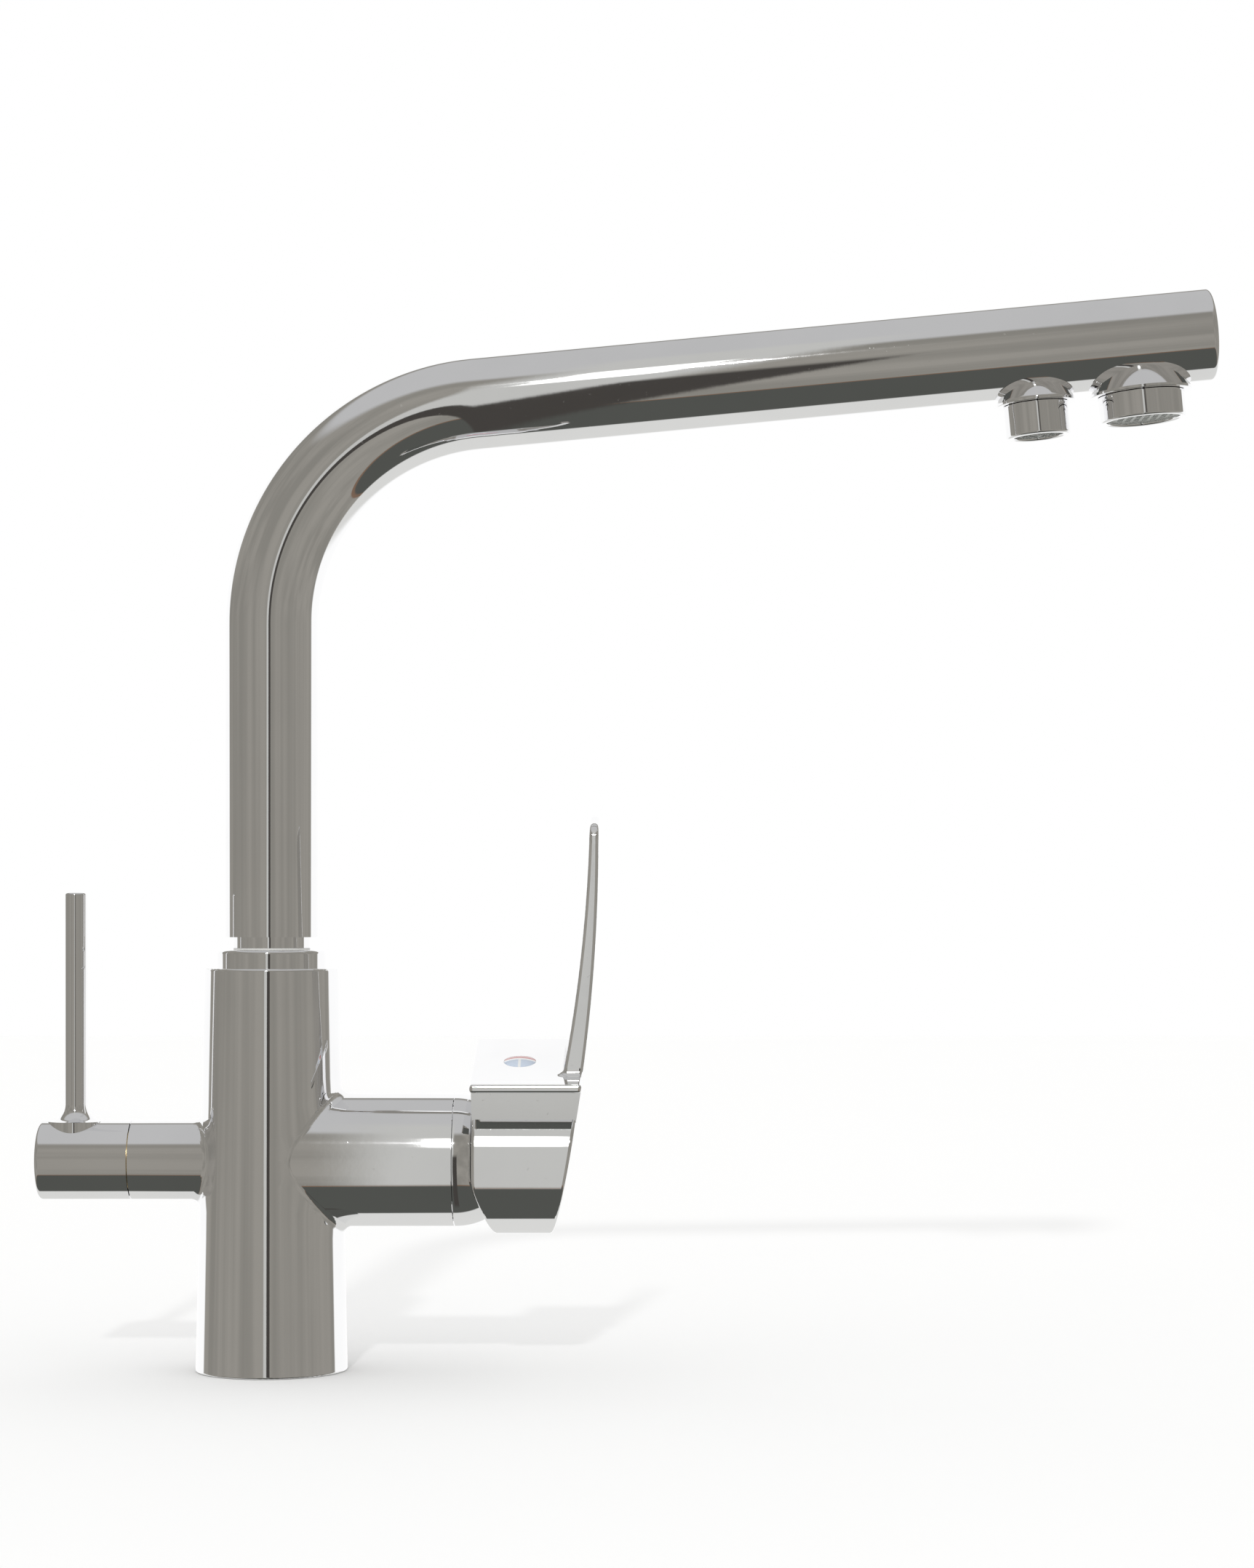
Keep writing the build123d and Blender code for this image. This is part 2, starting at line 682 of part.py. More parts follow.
with BuildPart() as fixed_disc:
    extrude(disc_on(arm_end.offset(cartridge_base_top), fixed_disc_radius), amount=fixed_disc_height)
    with BuildSketch(arm_end.offset(cartridge_base_top)):
        with Locations(*ports):
            Circle(supply_bore_radius)
    extrude(amount=fixed_disc_height, mode=Mode.SUBTRACT)
save("fixed_disc", fixed_disc)

with BuildPart() as moving_disc:
    place = (0, -ball_drop)
    extrude(disc_on(handle_end.offset(moving_disc_bottom), moving_disc_radius, place), amount=moving_disc_height)
    # Mixing pocket in the face towards the ports
    with BuildSketch(handle_end.offset(moving_disc_bottom)):
        with Locations(place):
            Ellipse(
                moving_disc_radius * mixing_pocket_height_share, moving_disc_radius * mixing_pocket_width_share
            )
    extrude(amount=moving_disc_height / 2, mode=Mode.SUBTRACT)
save("moving_disc", moving_disc)

with BuildPart() as disc_carrier:
    place = (0, -ball_drop)
    extrude(disc_on(handle_end.offset(moving_disc_top), carrier_radius, place), amount=carrier_height)
    socket_floor = ball_reach - stem_ball_radius - ball_gap
    socket = disc_on(handle_end.offset(socket_floor), stem_ball_radius + ball_gap, place)
    extrude(socket, amount=carrier_height, mode=Mode.SUBTRACT)
save("disc_carrier", disc_carrier)

with BuildPart() as cartridge_housing:
    wall = band(cartridge_base_top, cartridge_top, cartridge_inner_radius, cartridge_radius)
    revolve(face_on(arm_side, wall), axis=arm_axis)
    end_wall_start = cartridge_top - cartridge_end_wall
    end_wall = band(end_wall_start, cartridge_top, rotor_neck_radius + running_gap, cartridge_radius)
    revolve(face_on(arm_side, end_wall), axis=arm_axis)
save("cartridge_housing", cartridge_housing)

# Rotor that turns with the lever; its slot guides the stem and its eyes hold the pin
with BuildPart() as rotor:
    rotor_top = end_wall_start - disc_gap
    flange = band(rotor_top - rotor_flange_height, rotor_top, 0, cartridge_inner_radius - running_gap)
    revolve(face_on(arm_side, flange), axis=arm_axis)
    neck = band(rotor_top, rotor_neck_end, 0, rotor_neck_radius)
    revolve(face_on(arm_side, neck), axis=arm_axis)
    slot_width = stem_width + seam_gap
    with BuildSketch(handle_end.offset(rotor_top - rotor_flange_height - cut_overrun)):
        Rectangle(slot_width, 2 * rotor_slot_half_length)
    extrude(amount=rotor_neck_end, mode=Mode.SUBTRACT)
    with BuildSketch(handle_side):
        with Locations((lift_pivot_reach, 0)):
            Circle(pin_radius)
    extrude(amount=rotor_neck_radius, both=True, mode=Mode.SUBTRACT)
save("rotor", rotor)

with BuildPart() as pivot_pin:
    pin_half_length = rotor_neck_radius - seam_gap
    with BuildSketch(handle_side):
        with Locations((lift_pivot_reach, 0)):
            Circle(pin_radius)
    extrude(amount=pin_half_length, both=True)
save("pivot_pin", pivot_pin)

# Stem: a square end for the handle, an eye on the pin and a ball that moves the discs
with BuildPart() as stem:
    with BuildSketch(handle_side):
        with Locations((lift_pivot_reach, 0)):
            Circle(stem_eye_radius)
    extrude(amount=stem_width / 2, both=True)
    with BuildSketch(handle_end.offset(lift_pivot_reach)):
        Rectangle(stem_width, stem_width)
    extrude(amount=stem_end - lift_pivot_reach)
    eye = handle_side.from_local_coords((lift_pivot_reach, 0, 0))
    ball = handle_side.from_local_coords((ball_reach, -ball_drop, 0))
    extrude(disc_on(Plane(origin=eye, z_dir=ball - eye), stem_arm_radius), amount=stem_arm_length)
    with Locations(ball):
        Sphere(stem_ball_radius)
    with BuildSketch(handle_side):
        with Locations((lift_pivot_reach, 0)):
            Circle(pin_radius + running_gap)
    extrude(amount=stem_width, both=True, mode=Mode.SUBTRACT)
save("stem", stem)

with BuildPart() as cartridge_nut:
    thread = band(cartridge_top, mixer_arm_reach - seam_gap, nut_bore_radius, nut_thread_radius - press_gap)
    revolve(face_on(arm_side, thread), axis=arm_axis)
    collar = band(cartridge_top, nut_collar_end, nut_bore_radius, nut_collar_radius)
    revolve(face_on(arm_side, collar), axis=arm_axis)
    with BuildSketch(arm_end.offset(nut_collar_end - nut_slot_depth)):
        with PolarLocations(nut_collar_radius, 4):
            Rectangle(nut_collar_radius, nut_slot_width)
    extrude(amount=nut_slot_depth, mode=Mode.SUBTRACT)
save("cartridge_nut", cartridge_nut)

# Chrome cover: a thin spherical ring that the handle glides over
with BuildPart() as cartridge_cover:
    cover_start = mixer_arm_reach + seam_gap
    cover_inner = mixer_arm_radius - cover_wall
    outer_mouth = sqrt(mixer_arm_radius**2 - cover_mouth_radius**2)
    inner_mouth = sqrt(cover_inner**2 - cover_mouth_radius**2)
    inner_skirt = sqrt(cover_inner**2 - (cover_skirt_end - lift_pivot_reach) ** 2)
    skirt_radius = nut_collar_radius + running_gap
    with BuildSketch(arm_side) as section:
        with BuildLine():
            outer_foot = (lift_pivot_reach, mixer_arm_radius)
            mouth_outer = (lift_pivot_reach + outer_mouth, cover_mouth_radius)
            mouth_inner = (lift_pivot_reach + inner_mouth, cover_mouth_radius)
            skirt = (cover_skirt_end, inner_skirt)
            Polyline((cover_start, mixer_arm_radius), outer_foot)
            RadiusArc(outer_foot, mouth_outer, mixer_arm_radius)
            Line(mouth_outer, mouth_inner)
            RadiusArc(mouth_inner, skirt, -cover_inner)
            Polyline(
                skirt,
                (cover_skirt_end, skirt_radius),
                (cover_start, skirt_radius),
                (cover_start, mixer_arm_radius),
            )
        make_face()
    revolve(section.sketch, axis=arm_axis)
save("cartridge_cover", cartridge_cover)

# Upright blade of the mixer handle, rounded on all its free edges
handle_foot = (barrel_foot_reach, -handle_radius)
outer_middle = (blade_outer_middle_reach, blade_outer_middle_height)
outer_top = (blade_outer_top_reach, blade_tip_height)
with BuildPart() as handle_blade:
    with BuildSketch(handle_side):
        with BuildLine():
            ThreePointArc(handle_foot, outer_middle, outer_top)
            inner_top = (blade_inner_top_reach, blade_tip_height)
            inner_middle = (blade_inner_middle_reach, blade_inner_middle_height)
            inner_root = (blade_inner_root_reach, deck_height)
            Line(outer_top, inner_top)
            ThreePointArc(inner_top, inner_middle, inner_root)
            Polyline(inner_root, (barrel_foot_reach, 0), handle_foot)
        make_face()
    extrude(amount=blade_root_half_width, both=True)
    with BuildSketch(handle_end) as blade_end:
        taper = (blade_root_half_width - blade_tip_half_width) / (blade_tip_height - deck_height)
        hidden_half_width = blade_root_half_width + taper * deck_height
        Polygon(
            (hidden_half_width, 0),
            (blade_tip_half_width, blade_tip_height),
            (-blade_tip_half_width, blade_tip_height),
            (-hidden_half_width, 0),
            align=None,
        )
        fillet(blade_end.vertices().group_by(Axis.Y)[-1], radius=blade_tip_round)
    extrude(amount=blade_tip_height, mode=Mode.INTERSECT)
    free_edges = handle_blade.edges().filter_by(
        lambda edge: in_handle(edge).Y > deck_height / 2
        and not (edge.geom_type == GeomType.LINE and abs(in_handle(edge).Z) > seam_gap)
    )
    fillet(free_edges, radius=blade_edge_round)

# Mixer handle: a round barrel, a thin deck on a neck, the blade, and a hollow for the cover
with BuildPart() as mixer_handle:
    with BuildSketch(handle_side) as barrel_side:
        with BuildLine():
            relief_shift = handle_radius * tan(radians(relief_angle))
            ThreePointArc(handle_foot, outer_middle, outer_top)
            Polyline(
                outer_top,
                (handle_start, blade_tip_height),
                (handle_start, 0),
                (handle_start + relief_shift, -handle_radius),
                handle_foot,
            )
        make_face()
        fillet(barrel_side.vertices().sort_by_distance((handle_start, 0, 0))[0], radius=relief_round)
    extrude(amount=handle_radius, both=True)
    with BuildSketch(handle_end):
        Circle(handle_radius)
        Polygon(
            (neck_half_width, 0),
            (neck_half_width, deck_height),
            (-neck_half_width, deck_height),
            (-neck_half_width, 0),
            align=None,
        )
        with Locations((0, deck_height - deck_thickness / 2)):
            Rectangle(2 * deck_half_width, deck_thickness)
    extrude(amount=blade_tip_height, mode=Mode.INTERSECT)
    rims = mixer_handle.edges().filter_by(
        lambda edge: in_handle(edge).Y > deck_height - running_gap
        or in_handle(edge).Y > deck_height - deck_thickness - running_gap
        and abs(in_handle(edge).Z) > neck_half_width + running_gap
        or in_handle(edge).Y < -running_gap
        and edge.geom_type != GeomType.LINE
    )
    fillet(rims, radius=handle_edge_round)
    add(handle_blade.part)
    roots = mixer_handle.edges().filter_by(
        lambda edge: abs(in_handle(edge).Y - deck_height) < running_gap / 2
        and abs(in_handle(edge).Z) < blade_root_half_width + seam_gap
        and barrel_foot_reach < in_handle(edge).X < blade_inner_middle_reach
    )
    fillet(roots, radius=blade_root_round)
    with Locations((lift_pivot_reach, 0, arm_height)):
        Sphere(mixer_arm_radius + handle_cover_gap, mode=Mode.SUBTRACT)
    with BuildSketch(handle_end.offset(lift_pivot_reach)):
        Rectangle(stem_width + running_gap, stem_width + running_gap)
    extrude(amount=stem_end + seam_gap - lift_pivot_reach, mode=Mode.SUBTRACT)
    screw_mouth = handle_side.from_local_coords((indicator_reach, deck_height, 0))
    deck_plane = Plane(origin=screw_mouth, x_dir=(1, 0, 0), z_dir=handle_side.y_dir)
    extrude(disc_on(deck_plane, handle_screw_radius + press_gap), amount=-deck_height, mode=Mode.SUBTRACT)
    extrude(disc_on(deck_plane, indicator_radius + running_gap), amount=-indicator_seat_depth, mode=Mode.SUBTRACT)
save("mixer_handle", mixer_handle)

# Round button that shows hot and cold and closes the screw's hole
with BuildPart() as indicator_button:
    indicator_axis = Axis(screw_mouth, deck_plane.z_dir)
    with BuildSketch(handle_side) as section:
        with BuildLine():
            plug_bottom = deck_height - indicator_seat_depth - indicator_plug_length
            seat = deck_height - indicator_seat_depth
            crown = (indicator_reach, deck_height + indicator_crown)
            edge = (indicator_reach + indicator_radius, deck_height)
            crown_radius = (indicator_radius**2 + indicator_crown**2) / (2 * indicator_crown)
            RadiusArc(crown, edge, crown_radius)
            Polyline(
                edge,
                (indicator_reach + indicator_radius, seat),
                (indicator_reach + indicator_plug_radius, seat),
                (indicator_reach + indicator_plug_radius, plug_bottom),
                (indicator_reach, plug_bottom),
                crown,
            )
        make_face()
    revolve(section.sketch, axis=indicator_axis)
save("indicator_button", indicator_button)

# Socket screw that clamps the handle on the stem
with BuildPart() as handle_screw:
    screw_plane = deck_plane.offset(stem_width / 2 - deck_height)
    extrude(disc_on(screw_plane, handle_screw_radius), amount=handle_screw_length)
    with BuildSketch(screw_plane.offset(handle_screw_length)):
        RegularPolygon(handle_screw_socket, 6)
    extrude(amount=-handle_screw_length / 3, mode=Mode.SUBTRACT)
save("handle_screw", handle_screw)

# Brass valve housing in the thin arm
with BuildPart() as valve_headwork:
    end = -filter_arm_reach
    profile = [
        (-valve_nose_reach, valve_cavity_radius),
        (-valve_nose_reach, valve_barrel_radius),
        (-valve_thread_start, valve_barrel_radius),
        (-valve_thread_start, valve_thread_radius - press_gap),
        (end, valve_thread_radius - press_gap),
        (end, valve_flange_radius),
        (end - valve_flange_height, valve_flange_radius),
        (end - valve_flange_height, valve_neck_radius),
        (-valve_neck_end, valve_neck_radius),
        (-valve_neck_end, spindle_radius),
        (-valve_cavity_end, spindle_radius),
        (-valve_cavity_end, valve_cavity_radius),
    ]
    revolve(face_on(arm_side, profile), axis=arm_axis)
    window_reach = -valve_cavity_end + spindle_flange_height + valve_disc_height / 2
    with BuildSketch(arm_side):
        with Locations((window_reach, 0)):
            Rectangle(valve_window_length, valve_window_width)
    extrude(amount=valve_thread_radius, both=True, mode=Mode.SUBTRACT)
save("valve_headwork", valve_headwork)

# Valve spindle with its drive flange, seal groove and clip groove
with BuildPart() as valve_spindle:
    shaft_radius = spindle_radius - running_gap
    flange_end = -valve_cavity_end + spindle_flange_height
    flange = band(-valve_cavity_end + disc_gap, flange_end, 0, valve_cavity_radius - running_gap)
    revolve(face_on(arm_side, flange), axis=arm_axis)
    revolve(face_on(arm_side, band(-spindle_end, flange_end, 0, shaft_radius)), axis=arm_axis)
    half = spindle_seal_radius + seal_groove_slack
    groove = band(-spindle_seal_reach - half, -spindle_seal_reach + half,
                  shaft_radius - 2 * spindle_seal_radius, spindle_radius)
    revolve(face_on(arm_side, groove), axis=arm_axis, mode=Mode.SUBTRACT)
    clip_start = -valve_neck_end - seam_gap
    groove = band(clip_start - spindle_clip_height, clip_start, shaft_radius - spindle_clip_depth, spindle_radius)
    revolve(face_on(arm_side, groove), axis=arm_axis, mode=Mode.SUBTRACT)
save("valve_spindle", valve_spindle)

with BuildPart() as spindle_seal:
    place = (-spindle_seal_reach, shaft_radius - spindle_seal_radius)
    revolve(seal_face(arm_side, place, spindle_seal_radius), axis=arm_axis)
save("spindle_seal", spindle_seal)

with BuildPart() as spindle_clip:
    ring = band(clip_start - spindle_clip_height, clip_start, shaft_radius - spindle_clip_depth, spindle_clip_radius)
    revolve(face_on(arm_side, ring), axis=arm_axis)
    with BuildSketch(arm_end.offset(clip_start - spindle_clip_height)):
        with Locations((0, -spindle_clip_radius)):
            Rectangle(spindle_radius, 2 * spindle_clip_radius)
    extrude(amount=spindle_clip_height, mode=Mode.SUBTRACT)
save("spindle_clip", spindle_clip)

# Ceramic discs: the turning one with a quarter opening, the fixed one with two ports
with BuildPart() as valve_turning_disc:
    turning_plane = arm_end.offset(flange_end)
    extrude(disc_on(turning_plane, valve_cavity_radius - 2 * running_gap), amount=valve_disc_height)
    with BuildSketch(turning_plane):
        with Locations((0, valve_cavity_radius), (0, -valve_cavity_radius)):
            Rectangle(valve_cavity_radius, valve_cavity_radius)
    extrude(amount=valve_disc_height, mode=Mode.SUBTRACT)
save("valve_turning_disc", valve_turning_disc)

with BuildPart() as valve_fixed_disc:
    fixed_plane = turning_plane.offset(valve_disc_height + disc_gap)
    extrude(disc_on(fixed_plane, valve_cavity_radius - running_gap), amount=valve_disc_height)
    with BuildSketch(fixed_plane):
        with Locations((valve_cavity_radius / 2, 0), (-valve_cavity_radius / 2, 0)):
            Circle(valve_cavity_radius / 3)
    extrude(amount=valve_disc_height, mode=Mode.SUBTRACT)
save("valve_fixed_disc", valve_fixed_disc)

with BuildPart() as valve_seat_seal:
    seat_start = flange_end + 2 * valve_disc_height + disc_gap
    sleeve = band(seat_start, -valve_seat_reach, valve_seat_bore_radius, valve_cavity_radius - running_gap)
    revolve(face_on(arm_side, sleeve), axis=arm_axis)
save("valve_seat_seal", valve_seat_seal)

# Round knob of the filtered water valve
with BuildPart() as filter_knob:
    knob_start = -filter_arm_reach - seam_gap
    profile = [
        (knob_start, knob_pocket_radius),
        (knob_start, filter_arm_radius),
        (-knob_end, filter_arm_radius),
        (-knob_end, 0),
        (-spindle_end - seam_gap, 0),
        (-spindle_end - seam_gap, shaft_radius),
        (-knob_pocket_end, shaft_radius),
        (-knob_pocket_end, knob_pocket_radius),
    ]
    revolve(face_on(arm_side, profile), axis=arm_axis)
    outer_rim = filter_knob.edges().filter_by(GeomType.CIRCLE).sort_by(Axis.X)[0]
    fillet(outer_rim, radius=knob_round)
    knob_top = Plane(origin=(-rod_reach, 0, arm_height + filter_arm_radius))
    extrude(disc_on(knob_top, rod_stud_radius), amount=-rod_stud_depth, mode=Mode.SUBTRACT)
    knob_bottom = Plane(origin=(-knob_screw_reach, 0, arm_height - filter_arm_radius))
    extrude(disc_on(knob_bottom, knob_screw_radius + press_gap), amount=filter_arm_radius, mode=Mode.SUBTRACT)
save("filter_knob", filter_knob)

# Lever rod with a flared foot that lies on the knob
with BuildPart() as filter_lever:
    with BuildSketch(arm_side) as section:
        with BuildLine():
            foot_bottom = sqrt(filter_arm_radius**2 - rod_foot_radius**2) - seam_gap
            flare_start = (-rod_reach + rod_radius, rod_foot_height)
            flare_end = (-rod_reach + rod_foot_radius, filter_arm_radius - seam_gap)
            flare_radius = rod_foot_radius - rod_radius
            RadiusArc(flare_end, flare_start, flare_radius)
            Polyline(
                flare_start,
                (-rod_reach + rod_radius, rod_top_height),
                (-rod_reach, rod_top_height),
                (-rod_reach, foot_bottom),
                (-rod_reach + rod_foot_radius, foot_bottom),
                flare_end,
            )
        make_face()
    rod_axis = Axis((-rod_reach, 0, arm_height), (0, 0, 1))
    revolve(section.sketch, axis=rod_axis)
    fillet(filter_lever.edges().filter_by(GeomType.CIRCLE).sort_by(Axis.Z)[-1], radius=rod_edge_round)
    knob_space = band(-knob_end - rod_foot_radius, 0, 0, filter_arm_radius)
    revolve(face_on(arm_side, knob_space), axis=arm_axis, mode=Mode.SUBTRACT)
    stud_plane = Plane(origin=(-rod_reach, 0, arm_height + filter_arm_radius - rod_stud_depth))
    extrude(disc_on(stud_plane, rod_stud_radius - press_gap), amount=rod_stud_depth + seam_gap)
save("filter_lever", filter_lever)

with BuildPart() as knob_screw:
    screw_tip = arm_height - shaft_radius
    screw_plane = Plane(origin=(-knob_screw_reach, 0, screw_tip))
    extrude(disc_on(screw_plane, knob_screw_radius), amount=-knob_screw_length)
    with BuildSketch(screw_plane.offset(-knob_screw_length)):
        RegularPolygon(knob_screw_radius / 2, 6)
    extrude(amount=knob_screw_length / 3, mode=Mode.SUBTRACT)
save("knob_screw", knob_screw)
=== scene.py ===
"""Kitchen mixer tap with a filtered water way: finishes, spout surface, light and camera.

Metres, in the frame of the CAD model: +Z is up and the user stands on the -Y side.
"""

import json
from math import cos, pi, radians, sin, tan

import bmesh
import bpy
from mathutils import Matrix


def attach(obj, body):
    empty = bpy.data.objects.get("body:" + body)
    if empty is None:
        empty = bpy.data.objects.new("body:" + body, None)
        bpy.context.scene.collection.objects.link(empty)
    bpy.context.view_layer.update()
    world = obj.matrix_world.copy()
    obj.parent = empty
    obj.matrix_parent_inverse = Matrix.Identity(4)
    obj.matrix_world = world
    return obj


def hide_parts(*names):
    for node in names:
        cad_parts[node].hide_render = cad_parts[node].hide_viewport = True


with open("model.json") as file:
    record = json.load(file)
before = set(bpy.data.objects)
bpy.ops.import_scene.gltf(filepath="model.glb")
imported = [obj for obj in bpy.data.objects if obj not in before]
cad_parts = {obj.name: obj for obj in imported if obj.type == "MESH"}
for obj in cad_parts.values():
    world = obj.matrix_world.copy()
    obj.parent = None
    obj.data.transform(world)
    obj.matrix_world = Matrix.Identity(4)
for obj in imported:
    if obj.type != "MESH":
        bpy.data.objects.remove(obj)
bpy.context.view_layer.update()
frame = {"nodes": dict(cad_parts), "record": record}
scene = bpy.context.scene
scene.view_settings.view_transform = "Standard"

NOISE_ROUGHNESS = 0.55
# Grain and specks are finer than a finish's own clouds by these factors
METAL_GRAIN, MOULDED_GRAIN, SPECKS = 9, 12, 26
GRAIN_DETAIL, SPECK_DETAIL = 6.0, 2.0
GRAIN_DEPTH = 0.0002
CLOUD_RANGE, SPECK_RANGE = (0.35, 0.75), (0.70, 0.76)
SPECK_SHARE = 1.5
MOULDED_SPREAD = 0.16

# Hot and cold button: its parts meet in a plane through the arm's axis, square to the handle's own
# depth direction, and its near part is split at the button's middle across
MARKER_ACROSS, ARM_HEIGHT = 0.0756, 0.0635
MARKER_AWAY, MARKER_UP = 0.95106, 0.30902
MARKER_EDGE = 0.0001
MIDDLE_LINE, SPLIT_LINE = (0.0006, 0.0004), (0.0005, 0.0003)
COLD, HOT, LINE = (0.60, 0.68, 0.80, 1), (0.46, 0.08, 0.08, 1), (0.85, 0.86, 0.86, 1)
MARKER_GRAIN, MARKER_SPREAD, MARKER_ROUGHNESS = 900, 0.1, 0.12


class Nodes:
    """Short calls for building a shader tree."""

    def __init__(self, tree):
        self.tree = tree
        tree.nodes.clear()

    def feed(self, socket, value):
        """Link a socket to another node's output, or set it to a constant."""
        if isinstance(value, bpy.types.NodeSocket):
            self.tree.links.new(value, socket)
        else:
            socket.default_value = value

    def add(self, kind, settings=None, **inputs):
        """Add a node. An input goes by its name, or by its place, as in i0 for the first."""
        node = self.tree.nodes.new(kind)
        for name, value in (settings or {}).items():
            setattr(node, name, value)
        for name, value in inputs.items():
            by_place = name[0] == "i" and name[1:].isdigit()
            self.feed(node.inputs[int(name[1:]) if by_place else name], value)
        return node

    def math(self, operation, first, second=0.0, third=0.0):
        node = self.add("ShaderNodeMath", {"operation": operation}, i0=first, i1=second, i2=third)
        return node.outputs[0]

    def product(self, first, second):
        return self.math("MULTIPLY", first, second)

    def distance(self, value, middle):
        return self.math("ABSOLUTE", self.math("SUBTRACT", value, middle))

    def smooth(self, value, start, full):
        """Ease from 0 at start to 1 at full, whichever of the two is larger."""
        node = self.add("ShaderNodeMapRange", {"interpolation_type": "SMOOTHSTEP"}, Value=value)
        node.inputs["From Min"].default_value = start
        node.inputs["From Max"].default_value = full
        return node.outputs[0]

    def mix(self, factor, first, second):
        """Mix two colours, which the node takes in places 6 and 7."""
        node = self.add("ShaderNodeMix", {"data_type": "RGBA"}, i0=factor, i6=first, i7=second)
        return node.outputs[2]

    def noise(self, coordinate, scale, detail=4.0):
        node = self.add(
            "ShaderNodeTexNoise", Vector=coordinate, Scale=scale, Detail=detail, Roughness=NOISE_ROUGHNESS
        )
        return node.outputs[0]


def new_material(name):
    material = bpy.data.materials.new(name)
    material.use_nodes = True
    nodes = Nodes(material.node_tree)
    output = nodes.add("ShaderNodeOutputMaterial")
    shader = nodes.add("ShaderNodeBsdfPrincipled")
    nodes.feed(output.inputs["Surface"], shader.outputs[0])
    place = nodes.add("ShaderNodeTexCoord").outputs["Object"]
    return material, nodes, shader.inputs, place


def add_grain(nodes, inputs, grain, strength):
    relief = nodes.add("ShaderNodeBump", Height=grain, Strength=strength, Distance=GRAIN_DEPTH)
    nodes.feed(inputs["Normal"], relief.outputs[0])


def metal(name, colour, dark, roughness, spread, scale, bump):
    """Metal with cloudy polish, faint handling marks and a fine uneven surface."""
    material, nodes, inputs, place = new_material(name)
    cloud = nodes.noise(place, scale)
    grain = nodes.noise(place, scale * METAL_GRAIN, GRAIN_DETAIL)
    speck = nodes.smooth(nodes.noise(place, scale * SPECKS, SPECK_DETAIL), *SPECK_RANGE)
    wear = nodes.math("MULTIPLY_ADD", nodes.product(cloud, grain), spread, roughness)
    nodes.feed(inputs["Base Color"], nodes.mix(nodes.smooth(cloud, *CLOUD_RANGE), colour, dark))
    nodes.feed(inputs["Roughness"], nodes.math("MULTIPLY_ADD", speck, spread * SPECK_SHARE, wear))
    nodes.feed(inputs["Metallic"], 1.0)
    add_grain(nodes, inputs, grain, bump)
    return material


def moulded(name, colour, dark, roughness, scale, bump, specular=0.5):
    """Plastic, rubber or ceramic with a faint mottle and a fine grain."""
    material, nodes, inputs, place = new_material(name)
    grain = nodes.noise(place, scale * MOULDED_GRAIN, GRAIN_DETAIL)
    nodes.feed(inputs["Base Color"], nodes.mix(nodes.noise(place, scale), colour, dark))
    nodes.feed(inputs["Roughness"], nodes.math("MULTIPLY_ADD", grain, MOULDED_SPREAD, roughness))
    nodes.feed(inputs["Specular IOR Level"], specular)
    add_grain(nodes, inputs, grain, bump)
    return material


def marker(name):
    """Hot and cold button: the far part red, the near part pale blue and split in two by pale lines."""
    material, nodes, inputs, place = new_material(name)
    depth = nodes.add("ShaderNodeVectorMath", {"operation": "DOT_PRODUCT"}, i0=place)
    depth.inputs[1].default_value = (0.0, MARKER_AWAY, MARKER_UP)
    offset = nodes.math("SUBTRACT", depth.outputs["Value"], MARKER_UP * ARM_HEIGHT)
    paint = nodes.mix(nodes.smooth(offset, -MARKER_EDGE, MARKER_EDGE), COLD, HOT)
    middle = nodes.smooth(nodes.math("ABSOLUTE", offset), *MIDDLE_LINE)
    across = nodes.add("ShaderNodeSeparateXYZ", Vector=place).outputs[0]
    split = nodes.smooth(nodes.distance(across, MARKER_ACROSS), *SPLIT_LINE)
    split = nodes.product(split, nodes.smooth(offset, MARKER_EDGE, -MARKER_EDGE))
    nodes.feed(inputs["Base Color"], nodes.mix(nodes.math("MAXIMUM", middle, split), paint, LINE))
    grain = nodes.noise(place, MARKER_GRAIN)
    nodes.feed(inputs["Roughness"], nodes.math("MULTIPLY_ADD", grain, MARKER_SPREAD, MARKER_ROUGHNESS))
    nodes.feed(inputs["Coat Weight"], 0.6)
    return material


chrome = metal(
    "polished_chrome", (0.93, 0.93, 0.94, 1), (0.90, 0.90, 0.91, 1),
    roughness=0.018, spread=0.05, scale=30.0, bump=0.012,
)
finishes = {
    "polished_chrome": chrome,
    "brass": metal(
        "brass", (0.78, 0.60, 0.32, 1), (0.66, 0.49, 0.25, 1),
        roughness=0.22, spread=0.25, scale=120.0, bump=0.2,
    ),
    "stainless": metal(
        "stainless", (0.70, 0.70, 0.70, 1), (0.58, 0.58, 0.59, 1),
        roughness=0.22, spread=0.2, scale=160.0, bump=0.15,
    ),
    "black_rubber": moulded(
        "black_rubber", (0.035, 0.035, 0.036, 1), (0.06, 0.06, 0.058, 1),
        roughness=0.55, scale=160.0, bump=0.4, specular=0.3,
    ),
    "grey_plastic": moulded(
        "grey_plastic", (0.34, 0.35, 0.33, 1), (0.26, 0.27, 0.25, 1),
        roughness=0.35, scale=200.0, bump=0.2,
    ),
    "white_plastic": moulded(
        "white_plastic", (0.86, 0.86, 0.84, 1), (0.80, 0.80, 0.77, 1),
        roughness=0.32, scale=120.0, bump=0.15,
    ),
    "ceramic": moulded(
        "ceramic", (0.90, 0.89, 0.86, 1), (0.86, 0.84, 0.80, 1),
        roughness=0.08, scale=90.0, bump=0.02,
    ),
    "marker_plastic": marker("marker_plastic"),
}
slots = {entry["node"]: entry["material_slot"] for entry in frame["record"]["subparts"]}
